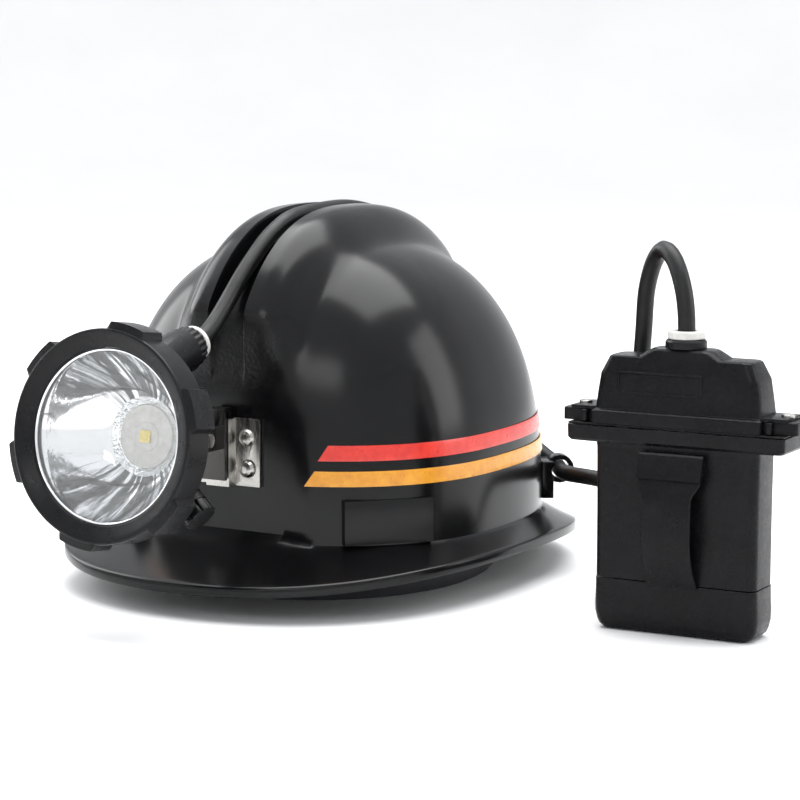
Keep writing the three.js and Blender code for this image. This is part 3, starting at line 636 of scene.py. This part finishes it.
tail_points = [
    battery_point(*p)
    for p in (
        (-13.4, 35.6, 26),
        (-24.5, 34, 37),
        (-31, 35.4, 55),
        (-34.4, 37.6, 78),
        (-34.2, 39, 106),
        (-32, 38, 134),
        (-30, 36.4, 153),
        (-24, 31.5, 167),
        (-17, 25.5, 172.5),
        (-9.5, 19.5, 168.5),
        (-2.6, 14, 156),
        (0, 12, 143),
        (0, 12, 131),
    )
]
cord_line = smooth_path(front_points + coil_points + tail_points, CORD_STEP)


def tube(line, radius, sides=16):
    """A round tube along a line, its frame carried along without twist."""
    tangents = np.gradient(line, axis=0)
    tangents /= np.linalg.norm(tangents, axis=1)[:, None]
    side = np.cross(tangents[0], (1.0, 0.2, 0.1))
    side /= np.linalg.norm(side)
    verts, faces = [], []
    for i, (p, t) in enumerate(zip(line, tangents)):
        side = side - t * (side @ t)
        side /= np.linalg.norm(side)
        other = np.cross(t, side)
        for k in range(sides):
            a = 2 * math.pi * k / sides
            verts.append(tuple(p + radius * (side * math.cos(a) + other * math.sin(a))))
    for i in range(len(line) - 1):
        for k in range(sides):
            j = (k + 1) % sides
            faces.append((i * sides + k, i * sides + j, (i + 1) * sides + j, (i + 1) * sides + k))
    faces.append(tuple(reversed(range(sides))))
    faces.append(tuple((len(line) - 1) * sides + k for k in range(sides)))
    return verts, faces


cord_mesh = bpy.data.meshes.new("cord")
cord_verts, cord_faces = tube(cord_line, CORD_R)
cord_mesh.from_pydata(cord_verts, [], cord_faces)
cord_mesh.transform(CAP_AT @ SHRINK)
smooth_faces(cord_mesh)
cord_mesh.materials.append(looks["cord_rubber"])
cord = put("cord", cord_mesh)
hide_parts("cord_front", "cord_crown", "cord_link", "cord_coil", "cord_tail")
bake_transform(cord)

# ---- the cap's shell ----------------------------------------------------------------
# The dome: its half lengths in front and behind, half width, base, rise, and the powers of its outlines.
AF, AR, B, BASE, RISE, Q, N = 95.0, 117.0, 101.0, 30.0, 140.0, 2.4, 2.55
WALL, PAD, PAD_EDGE = 2.6, 88.0, 0.5
# The ridge over the crown: half widths at its crest and foot, and of the cord's channel in it.
RIDGE_RISE, CREST, FOOT, INNER, FLOOR, FLOOR_RISE = 14.5, 15.0, 40.0, 9.8, 8.5, 6.0
# Heights between which the ridge fades in, in front and behind.
FADE_FRONT, FADE_REAR = (104.0, 134.0), (118.0, 150.0)
# The brim: its reach in front, behind and at the sides, its edge's height, and how far its ends droop.
BRIM_FRONT, BRIM_REAR, BRIM_SIDE, BRIM_EDGE = 42, 23, 15, 24
DROOP_FRONT, DROOP_REAR = 8.0, 12.0


def smooth(t):
    t = np.clip(t, 0, 1)
    return t * t * (3 - 2 * t)


def dome(x, w):
    """The dome's surface over x, from its front base (w = -1) to its rear base (w = 1)."""
    side = np.clip(np.abs(x) / B, 0, 1) ** Q
    length = np.where(w < 0, AF, AR)
    rho = (side + (1 - side) * np.abs(w) ** Q) ** (1 / Q)
    y = length * (1 - side) ** (1 / Q) * w
    z = BASE + RISE * np.clip(1 - rho**N, 0, 1) ** (1 / N)
    return np.stack(np.broadcast_arrays(x, y, z), -1)


def dome_normal(p):
    length = np.where(p[..., 1] < 0, AF, AR)
    a, b = np.abs(p[..., 0]) / B, np.abs(p[..., 1]) / length
    scale = np.maximum(1e-9, a**Q + b**Q) ** (N / Q - 1)
    n = np.stack(
        [
            scale * a ** (Q - 1) * np.sign(p[..., 0]) / B,
            scale * b ** (Q - 1) * np.sign(p[..., 1]) / length,
            (np.maximum(0, p[..., 2] - BASE) / RISE) ** (N - 1) / RISE,
        ],
        -1,
    )
    return n / np.maximum(1e-12, np.linalg.norm(n, axis=-1))[..., None]


def ridge(x, inner, floor, floor_rise):
    a = np.abs(x)
    wall = smooth((a - floor) / (inner - floor))
    flank = 1 - smooth((a - CREST) / (FOOT - CREST))
    return floor_rise + (RIDGE_RISE * flank - floor_rise) * wall


def shell_surface(x, w, inside):
    p = dome(x, w)
    n = dome_normal(p)
    low, high = (np.where(p[..., 1] < 0, front, rear) for front, rear in zip(FADE_FRONT, FADE_REAR))
    fade = smooth((p[..., 2] - low) / (high - low))
    if inside:
        rise = ridge(p[..., 0], INNER + WALL, FLOOR + WALL, 0.0)
    else:
        rise = ridge(p[..., 0], INNER, FLOOR, FLOOR_RISE)
    p = p + n * (rise * fade - inside)[..., None]
    # the lamp's pad: a flat arch cut into the front, with a soft edge
    limit = inside - PAD
    over = (p[..., 1] - limit) / PAD_EDGE
    flat = limit + PAD_EDGE * np.where(over > 30, over, np.log1p(np.exp(np.clip(over, -40, 30))))
    arch = p[..., 2] > BASE + 3
    p[..., 1] = np.where(arch & (p[..., 1] < 0), flat, p[..., 1])
    return p


def brim_surface(x, end, share, drop, inset=0.0):
    side = np.clip(np.abs(x) / B, 0, 1) ** Q
    reach = (1 - side) ** (1 / Q)
    length = (AF + BRIM_FRONT * share) if end < 0 else (AR + BRIM_REAR * share)
    droop = DROOP_FRONT if end < 0 else DROOP_REAR
    edge = BRIM_EDGE - droop * (1 - side)
    across = (x / B) * (B + BRIM_SIDE * share - inset)
    z = BASE + (edge - BASE) * share**0.8 - drop
    return np.stack([across, end * reach * (length - inset), z], -1)


def shell_columns(inside):
    flank = B * np.cos(np.radians(np.linspace(0, 90, 70))) ** (2 / Q)
    flank = flank[flank > FOOT + 1]
    slope = np.linspace(FOOT, CREST, 18)
    crest = np.linspace(CREST - 1, INNER + 0.4, 8)
    add_wall = WALL if inside else 0.0
    wall = np.linspace(INNER, FLOOR, 7) + add_wall
    floor = np.linspace(FLOOR - 1, 0.0, 6)
    half = np.concatenate([flank, slope, crest, wall, floor])
    half = np.array(sorted(set(np.round(half, 4)), reverse=True))
    return np.concatenate([-half, half[:-1][::-1]])


ROWS = 120


def shell_mesh():
    t = np.linspace(-1, 1, ROWS + 1)
    s = np.cos(np.pi / 2 * t)
    w = np.sign(t) * np.clip(1 - s**N, 0, 1) ** (1 / N)
    verts, faces = [], []

    def grid(inside):
        xs = shell_columns(inside > 0)
        g = np.array([shell_surface(np.full_like(w, x), w, inside) for x in xs])
        base = len(verts)
        verts.extend(map(tuple, g.reshape(-1, 3)))
        ids = base + np.arange(len(xs) * (ROWS + 1)).reshape(len(xs), -1)
        for r in range(len(xs) - 1):
            for i in range(ROWS):
                faces.append((ids[r, i], ids[r + 1, i], ids[r + 1, i + 1], ids[r, i + 1]))
        return xs, ids

    xs, outer = grid(0.0)
    inner = grid(WALL)[1]

    def hoop(columns, share, drop, inset=0.0):
        base = len(verts)
        front = brim_surface(columns, -1, share, drop, inset)
        back = brim_surface(columns[1:-1][::-1], 1, share, drop, inset)
        verts.extend(map(tuple, np.concatenate([front, back])))
        return list(range(base, len(verts)))

    def rim(ids):
        return list(ids[:, 0]) + list(ids[1:-1, -1][::-1])

    hoops = [rim(outer)]
    for share in np.linspace(0.06, 0.95, 14):
        hoops.append(hoop(xs, share, 0.0))
    for share, drop, inset in (
        (0.985, 0.15, 0),
        (1.0, 0.7, 0),
        (1.0, 4.3, 0),
        (1.0, 4.85, 0.4),
        (1.0, 5.0, 1.1),
        (1.0, 4.8, 1.9),
        (1.0, 4.2, 2.4),
        (1.0, 2.9, 2.5),
        (0.9, 2.6, 2.5),
    ):
        hoops.append(hoop(xs, share, drop, inset))
    for share in np.linspace(0.8, 0.05, 8):
        hoops.append(hoop(xs, share, WALL, 0.0))
    for a, b in zip(hoops, hoops[1:]):
        n = len(a)
        for i in range(n):
            faces.append((a[i], b[i], b[(i + 1) % n], a[(i + 1) % n]))
    join_rims(verts, faces, hoops[-1], rim(inner))
    return fixed(verts, faces)


def join_rims(verts, faces, a, b):
    """Triangles between two closed loops of different counts, matched by their angle."""
    turn = lambda i: math.atan2(verts[i][1], verts[i][0])
    a, b = sorted(a, key=turn), sorted(b, key=turn)
    i = j = 0
    while i < len(a) or j < len(b):
        p, q = a[i % len(a)], b[j % len(b)]
        next_a = turn(a[i + 1]) if i + 1 < len(a) else turn(a[0]) + 2 * math.pi
        next_b = turn(b[j + 1]) if j + 1 < len(b) else turn(b[0]) + 2 * math.pi
        if j >= len(b) or (i < len(a) and next_a <= next_b):
            faces.append((p, a[(i + 1) % len(a)], q))
            i += 1
        else:
            faces.append((p, b[(j + 1) % len(b)], q))
            j += 1


add("look_shell", *shell_mesh(), "shell_gloss", at=CAP_AT, sharp=50, stands_for=("helmet_shell",))


# ---- stripes ------------------------------------------------------------------------
STRIPE_END, STRIPE_STEPS, STRIPE_SLANT = 128, 90, 0.42


def stripe_mesh(side, low, high, start):
    """A band round the dome from the start angle to the rear, its front end cut on a slant."""
    flat = [(low + (high - low) * v, 0.8) for v in np.linspace(0.03, 0.97, 6)]
    section = [(low, 0.35), (low, 0.75), *flat, (high, 0.75), (high, 0.35)]
    rings = []
    for k in range(STRIPE_STEPS + 1):
        ring = []
        for z, off in section:
            shift = (z - low) * STRIPE_SLANT
            angle = math.radians(start + shift + (STRIPE_END - start - shift) * k / STRIPE_STEPS)
            s = (z - BASE) / RISE
            shrink = (1 - s**N) ** (1 / N)
            x = side * B * abs(math.sin(angle)) ** (2 / Q) * shrink
            c = -math.cos(angle)
            y = math.copysign(abs(c) ** (2 / Q), c) * (AF if c < 0 else AR) * shrink
            p = np.array([x, y, z])
            ring.append(p + dome_normal(p) * off)
        rings.append(ring)
    return loft(rings)


for side, name in ((1, "left"), (-1, "right")):
    for colour, low, high, start in (("red", 70.1, 77.4, 26), ("yellow", 58.1, 65.3, 22)):
        add(
            f"look_stripe_{colour}_{name}",
            *stripe_mesh(side, low, high, start),
            f"{colour}_stripe",
            at=CAP_AT,
            stands_for=(f"stripe_{colour}_{name}",),
        )

# ---- small pieces on the cap --------------------------------------------------------
for name in ("left", "right"):
    from_cad(f"slot_boss_{name}", "shell_gloss", edge=1.1)
from_cad("cord_clip", "shell_gloss", edge=0.8)
from_cad("bracket", "steel", edge=0.35)
rivet_dome = [(0, -2.9), (1.8, -2.75), (3.4, -2.0), (4.2, -0.7), (4.4, 0)]
rivet_profile = [*rivet_dome, (1.3, 0), (1.3, 1.4), (0, 1.4)]
RIVET_X, RIVET_Y = 13.25, -90.2
for name, x, z in (
    ("left_high", RIVET_X, 79),
    ("left_low", RIVET_X, 64),
    ("right_high", -RIVET_X, 79),
    ("right_low", -RIVET_X, 64),
):
    at = CAP_AT @ Matrix.Translation(Vector((x, RIVET_Y, z)) * MM)
    turned(f"look_rivet_{name}", rivet_profile, "steel", at, 32, 0.5, node=f"rivet_{name}")
from_cad("headband", "band_plastic", edge=0.5)
from_cad("sweat_pad", "foam", edge=0.6)
from_cad("cradle", "webbing", edge=0.3)
from_cad("ratchet_housing", "band_plastic", edge=0.8)
from_cad("ratchet_knob", "band_plastic", body="ratchet", edge=0.4)
from_cad("lamp_hook", "dark_steel", edge=0.4)
from_cad("hinge_pin", "steel", edge=0.3)


# ---- headlamp -----------------------------------------------------------------------
LUG_COUNT, LUG_HALF, LUG_FIRST = 6, math.radians(11.5), math.radians(12)
LUG_LEAD, LUG_RAMP, LUG_RISE = math.radians(1.2), math.radians(1.6), 3.2
LUG_INSIDE, LUG_FRONT, LUG_BACK = 48.0, 0.9, 16.3


def lug_wave(r, y, a):
    """The bezel's outside swells into lugs at even angles."""
    if r < LUG_INSIDE or not LUG_FRONT < y < LUG_BACK:
        return r
    gap = 2 * math.pi / LUG_COUNT
    near = abs((a - LUG_FIRST + gap / 2) % gap - gap / 2)
    swell = 1 - smooth((near - LUG_HALF + LUG_LEAD) / LUG_RAMP)
    return r + LUG_RISE * float(swell)


bezel_profile = [
    (39.9, 4.6),
    (40.4, 3.9),
    (44.2, 1.6),
    (46.2, 0.4),
    (47.3, 0.0),
    (48.2, 0.4),
    (48.5, 1.4),
    (48.5, 5.5),
    (48.5, 10.0),
    (48.5, 14.0),
    (48.5, 15.8),
    (47.2, 17),
    (46.1, 17),
    (46.1, 5.6),
    (39.9, 5.6),
]


def lamp_piece(name, profile, look, segments, radius, at=LAMP_AT, **options):
    """A turned piece that tilts with the headlamp."""
    turned(name, profile, look, at, segments, radius, body="headlamp", **options)


lamp_piece("look_bezel", bezel_profile, "lamp_plastic", 360, 0.4, wave=lug_wave, node="bezel")
window_profile = [(0, 5.9), (42.7, 5.9), (42.7, 8.2), (0, 8.2)]
lamp_piece("look_lens", window_profile, "lens_glass", 96, 0.3, node="lens")
seal_profile = [(40.2, 8.5), (42.7, 8.5), (42.7, 9.8), (40.2, 9.8)]
lamp_piece("look_seal", seal_profile, "rubber", 96, 0.4, node="seal_ring")

# the bowl: a deep paraboloid with a bright rim, and the dimpled ring at its bottom
bowl_inside = [(18.2 + 21.6 * u, 34.6 - 24.4 * u**1.55) for u in np.linspace(0, 1, 22)]
bowl_outside = [(r + 1.0, y + 1.4) for r, y in reversed(bowl_inside[:-2])]
bowl_profile = bowl_inside + [(40.4, 10.0), (42.6, 10.0), (42.6, 11.4), (41.4, 11.4)] + bowl_outside
lamp_piece("look_reflector", bowl_profile, "mirror_coat", 160, 0.15, node="reflector")
rim_profile = [(38.5, 5.0), (39.2, 4.4), (39.8, 5.0), (39.8, 5.8), (38.5, 5.8)]
lamp_piece("look_bright_rim", rim_profile, "bright_rim", 160, 0.3, slot="mirror_coat")
dimple_profile = [(14.6, 36.5), (18.4, 34.5), (18.9, 35.6), (15.0, 37.8)]
lamp_piece("look_dimples", dimple_profile, "dimples", 120, 0.2, slot="mirror_coat")
holder_face = [(0, 36.0), (6.5, 36.0), (7.0, 36.5), (13.6, 36.5), (14.5, 35.9), (14.6, 36.4)]
holder_profile = [*holder_face, (14.6, 39), (0, 39)]
lamp_piece("look_led_holder", holder_profile, "white_plastic", 80, 0.2, node="led_holder")
chip = merged(
    block((5.6, 0.8, 5.6), (0, 35.3, 0), 0.2),
    lathe([(0, 33.9), (0.9, 34.0), (1.7, 34.4), (2.1, 35.2), (0, 35.2)], 32, 0.3),
)
add("look_led_chip", *chip, "led_phosphor", body="headlamp", at=LAMP_AT, stands_for=("led_chip",))
from_cad("heat_sink", "aluminium", body="headlamp")
from_cad("lamp_housing", "lamp_plastic", body="headlamp", edge=0.5)
from_cad("lamp_back", "lamp_plastic", body="headlamp", edge=0.7)
GLAND_AT = LAMP_AT @ Matrix.Translation(Vector((0, 55.6, 37.9)) * MM)
GLAND_AT = GLAND_AT @ Matrix.Rotation(math.radians(21.5), 4, "X")
BORE = 4.6
RIB_COUNT, RIB_RISE, RIB_INSIDE = 20, 0.3, 9
nut_profile = [(BORE, 6), (9.6, 6), (9.6, 12), (8, 13.6), (BORE, 13.6)]


def ribbed(r, _, a):
    """Ribs for the fingers round the gland's nut."""
    return r + (RIB_RISE * math.cos(RIB_COUNT * a) if r > RIB_INSIDE else 0)


lamp_piece(
    "look_lamp_gland",
    nut_profile,
    "lamp_plastic",
    160,
    0.5,
    at=GLAND_AT,
    wave=ribbed,
    slot="rubber",
    node="lamp_gland",
)
ring_profile = [(BORE, 13.9), (8.6, 13.9), (8.2, 17), (BORE, 17)]
lamp_piece(
    "look_lamp_gland_ring", ring_profile, "white_plastic", 64, 0.7, at=GLAND_AT, node="lamp_gland_ring"
)
from_cad("switch_knob", "lamp_plastic", body="switch", edge=0.4)

# ---- battery ------------------------------------------------------------------------
MID = 12.0  # half its depth


def shaped(levels, radius):
    """A body through levels of (height, width, depth, corner), with softened edges."""
    soft = rounded([np.array(level, float) for level in levels], radius, 3)
    return loft([round_rect(width, depth, corner, MID, z) for z, width, depth, corner in soft])


foot_levels = [
    (0, 68, 19.5, 4),
    (0.7, 72, 22, 4.5),
    (2.2, 75.5, 23.8, 5),
    (4.5, 77.4, 24.6, 5),
    (8, 79.0, 25.0, 5),
    (12, 79.2, 25.0, 5),
    (19, 78.6, 24.6, 4.6),
    (23.55, 78.4, 24.5, 4.4),
]
add("look_foot", *shaped(foot_levels, 0.3), "case_plastic", at=BATTERY_AT, stands_for=("battery_foot",))
case_levels = [
    (24.05, 78.0, 24.0, 4.4),
    (60, 78.2, 24.0, 4.4),
    (84.0, 78.8, 24.0, 4.4),
    (86.0, 79.2, 24.2, 4.0),
    (86.3, 102.6, 26.0, 2.4),
    (87.6, 104.6, 28.4, 2.4),
    (93.5, 105, 28.6, 2.4),
]
add("look_case", *shaped(case_levels, 0.4), "case_plastic", at=BATTERY_AT, stands_for=("battery_case",))
from_cad("gasket", "rubber", edge=0.1)
lid_levels = [
    (94.9, 82, 28, 2.5),
    (100.4, 82, 28, 2.5),
    (101.0, 80.6, 26.6, 3),
    (101.5, 80.0, 23.6, 3.5),
    (110, 78.4, 22.4, 4),
    (117.5, 76.2, 21.6, 4),
    (125.0, 69.5, 17.6, 4),
    (125.6, 67.5, 16.4, 4),
]
ear_levels = [(94.9, 113, 18, 2.0), (95.4, 113, 18, 2.0), (100.2, 113, 18, 2.0), (100.6, 112, 17, 2.0)]
hump_levels = [(118, 52, 20.6, 4), (124.6, 44, 18.4, 4), (128.6, 32, 16.4, 5), (129.5, 29, 14.8, 5)]
lid = merged(
    shaped(lid_levels, 0.6),
    shaped(ear_levels, 0.3),
    shaped(hump_levels, 0.8),
    block((104, 20.2, 2.0), (0, MID, 101.1), 0.6),
    *(block((2.4, 24.6, 5.2), (x, MID, 97.7), 0.5) for x in (44.5, -44.5)),
)
add("look_lid", *lid, "case_plastic", at=BATTERY_AT, stands_for=("battery_lid",))
label = merged(
    block((40, 0.9, 0.9), (-8, 1.15, 118.5), 0.3),
    block((40, 0.9, 0.9), (-8, 0.6, 109.5), 0.3),
    block((0.9, 0.9, 9.6), (-28, 0.9, 114), 0.3),
    block((0.9, 0.9, 9.6), (12, 0.9, 114), 0.3),
)
add("look_label_frame", *label, "case_plastic", slot="case_plastic", at=BATTERY_AT)
for name in ("left", "right"):
    from_cad(f"lid_screw_{name}", "steel", edge=0.25)
TOP_AT = BATTERY_AT @ Matrix.Translation(Vector((0, MID, 129.8)) * MM)
TOP_AT = TOP_AT @ Matrix.Rotation(math.radians(90), 4, "X")
top_gland = [(BORE, 0), (9.4, 0), (9.4, 3), (8.6, 4), (BORE, 4)]
turned("look_top_gland", top_gland, "lamp_plastic", TOP_AT, radius=0.5, slot="rubber", node="battery_gland")
top_ring = [(BORE, 4.3), (8.6, 4.3), (8.4, 7.9), (BORE, 7.9)]
turned("look_top_ring", top_ring, "white_plastic", TOP_AT, radius=0.8, node="battery_gland_ring")
for node, look in (("cell_pack", "cell_wrap"), ("circuit_board", "board")):
    from_cad(node, look, edge=0.3)


def clip_mesh():
    """The belt clip: a bent head, and a strap that bows away from the case."""
    spine = [(-0.6, 83.4), (-2.9, 83.2), (-3.6, 79), (-5.6, 72.6), (-8.3, 66)]
    spine += [(-9.3, 56), (-9.2, 42), (-6.2, 32), (-3.0, 25.5), (-1.4, 22.6)]
    line = smooth_path([(0, y, z) for y, z in spine], 1.6)[:, 1:]
    rings = []
    for y, z in line:
        # it narrows under its head and widens a little at its foot
        half = 15.2 - 3.4 * float(smooth((72 - z) / 8)) + 0.6 * float(smooth((34 - z) / 12))
        flat = half - 0.5
        front = [(-half, y, z), (-flat, y - 0.8, z), (flat, y - 0.8, z)]
        rings.append([*front, (half, y, z), (flat, y + 0.8, z), (-flat, y + 0.8, z)])
    strap = loft(rings)
    head_levels = [
        (83.6, -3.6, -0.5),
        (82.8, -4.4, -0.5),
        (79.0, -5.2, -1.2),
        (73.2, -7.6, -4.8),
        (72.3, -7.7, -6.0),
    ]
    wide = 15.4
    head = loft([[(-wide, a, z), (wide, a, z), (wide, b, z), (-wide, b, z)] for z, a, b in head_levels])
    return merged(strap, head)


add(
    "look_belt_clip",
    *clip_mesh(),
    "case_plastic",
    body="clip",
    at=BATTERY_AT,
    sharp=30,
    stands_for=("belt_clip",),
)

# ---- floor and light ----------------------------------------------------------------
FLOOR_R, COVE_R, COVE_TOP = 2.6, 1.2, 2.6
cove_profile = [(0, 0), (FLOOR_R, 0)]
for turn in np.radians(np.linspace(6, 90, 15)):
    cove_profile.append((FLOOR_R + COVE_R * math.sin(turn), COVE_R - COVE_R * math.cos(turn)))
cove_profile += [(FLOOR_R + COVE_R, COVE_TOP)]
cove_verts, cove_faces = [(0, 0, 0)], []
COVE_SIDES = 72
for r, z in cove_profile[1:]:
    for k in range(COVE_SIDES):
        a = 2 * math.pi * k / COVE_SIDES
        cove_verts.append((r * math.cos(a), r * math.sin(a), z))
for k in range(COVE_SIDES):
    q = (k + 1) % COVE_SIDES
    cove_faces.append((0, 1 + k, 1 + q))
    for i in range(len(cove_profile) - 2):
        base = 1 + i * COVE_SIDES
        cove_faces.append((base + k, base + COVE_SIDES + k, base + COVE_SIDES + q, base + q))
floor_mesh = bpy.data.meshes.new("floor")
floor_mesh.from_pydata(cove_verts, [], cove_faces)
smooth_faces(floor_mesh)
floor = put("floor", floor_mesh)
floor.location.z = -0.0002
floor_look = Look("floor", 0.7)
floor_look.colour(floor_look.noise(3), (0.3, (0.80, 0.80, 0.80)), (0.7, (0.84, 0.84, 0.84)))
floor.data.materials.append(floor_look.mat)
floor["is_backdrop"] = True

world = bpy.data.worlds.new("world")
bpy.context.scene.world = world
world.use_nodes = True
world.node_tree.nodes["Background"].inputs["Color"].default_value = (0.95, 0.97, 1.0, 1)
world.node_tree.nodes["Background"].inputs["Strength"].default_value = 1.0


def softbox(name, at, size, power, aim_at=(0, 0, 90)):
    data = bpy.data.lights.new(name, "AREA")
    data.shape = "RECTANGLE"
    data.size, data.size_y = size
    data.energy = power
    aimed(put(name, data), at, aim_at)


softbox("top", (0, 350, 1900), (2.2, 1.6), 60)
softbox("left", (-1500, 100, 900), (0.9, 1.3), 14)
softbox("right", (1600, 700, 800), (0.8, 1.2), 10)
softbox("front", (500, -1900, 1300), (1.0, 0.5), 5, (0, -100, 60))
bpy.context.scene.view_settings.view_transform = "Standard"

low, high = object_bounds()
